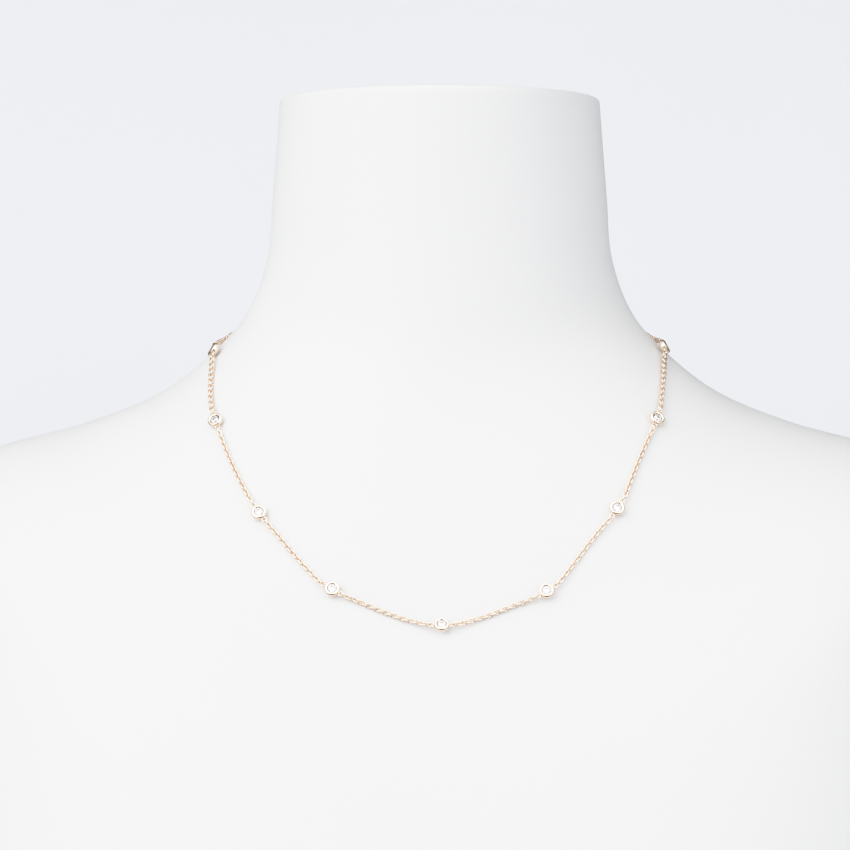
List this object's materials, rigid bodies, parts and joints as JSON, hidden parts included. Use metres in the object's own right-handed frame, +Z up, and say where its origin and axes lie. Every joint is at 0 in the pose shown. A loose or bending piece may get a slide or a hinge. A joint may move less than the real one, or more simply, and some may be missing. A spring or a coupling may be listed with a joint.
{
  "type": "station choker on a neck bust",
  "caption": "Fine cable chain with round bezel-set stones at even stations, closed by a spring ring at the nape, lying on a plain neck bust that stands on its flat base.",
  "frame": {"origin": "Centre of the bust's flat base, at the middle of the bounding box.", "axes": "+Z up the neck, +X across the shoulders to the viewer's right when facing the front, -Y out of the chest to the front."},
  "size_m": [0.295, 0.1721, 0.2352],
  "materials": {
    "bust_white": "smooth satin white lacquer",
    "rose_gold": "polished pale rose gold",
    "stone": "clear, colourless, brilliant cut"
  },
  "bodies": {
    "root": {"bust": "bust_white", "clasp": "rose_gold", "jump_ring": "rose_gold", "bezel_1": "rose_gold", "bezel_2": "rose_gold", "bezel_3": "rose_gold", "bezel_4": "rose_gold", "bezel_5": "rose_gold", "bezel_6": "rose_gold", "bezel_7": "rose_gold", "bezel_8": "rose_gold", "bezel_9": "rose_gold", "bezel_10": "rose_gold", "bezel_11": "rose_gold", "bezel_12": "rose_gold", "bezel_13": "rose_gold", "stone_1": "stone", "stone_2": "stone", "stone_3": "stone", "stone_4": "stone", "stone_5": "stone", "stone_6": "stone", "stone_7": "stone", "stone_8": "stone", "stone_9": "stone", "stone_10": "stone", "stone_11": "stone", "stone_12": "stone", "stone_13": "stone", "chain_1": "rose_gold", "chain_2": "rose_gold", "chain_3": "rose_gold", "chain_4": "rose_gold", "chain_5": "rose_gold", "chain_6": "rose_gold", "chain_7": "rose_gold", "chain_8": "rose_gold", "chain_9": "rose_gold", "chain_10": "rose_gold", "chain_11": "rose_gold", "chain_12": "rose_gold", "chain_13": "rose_gold", "chain_14": "rose_gold"}
  },
  "joints": []
}
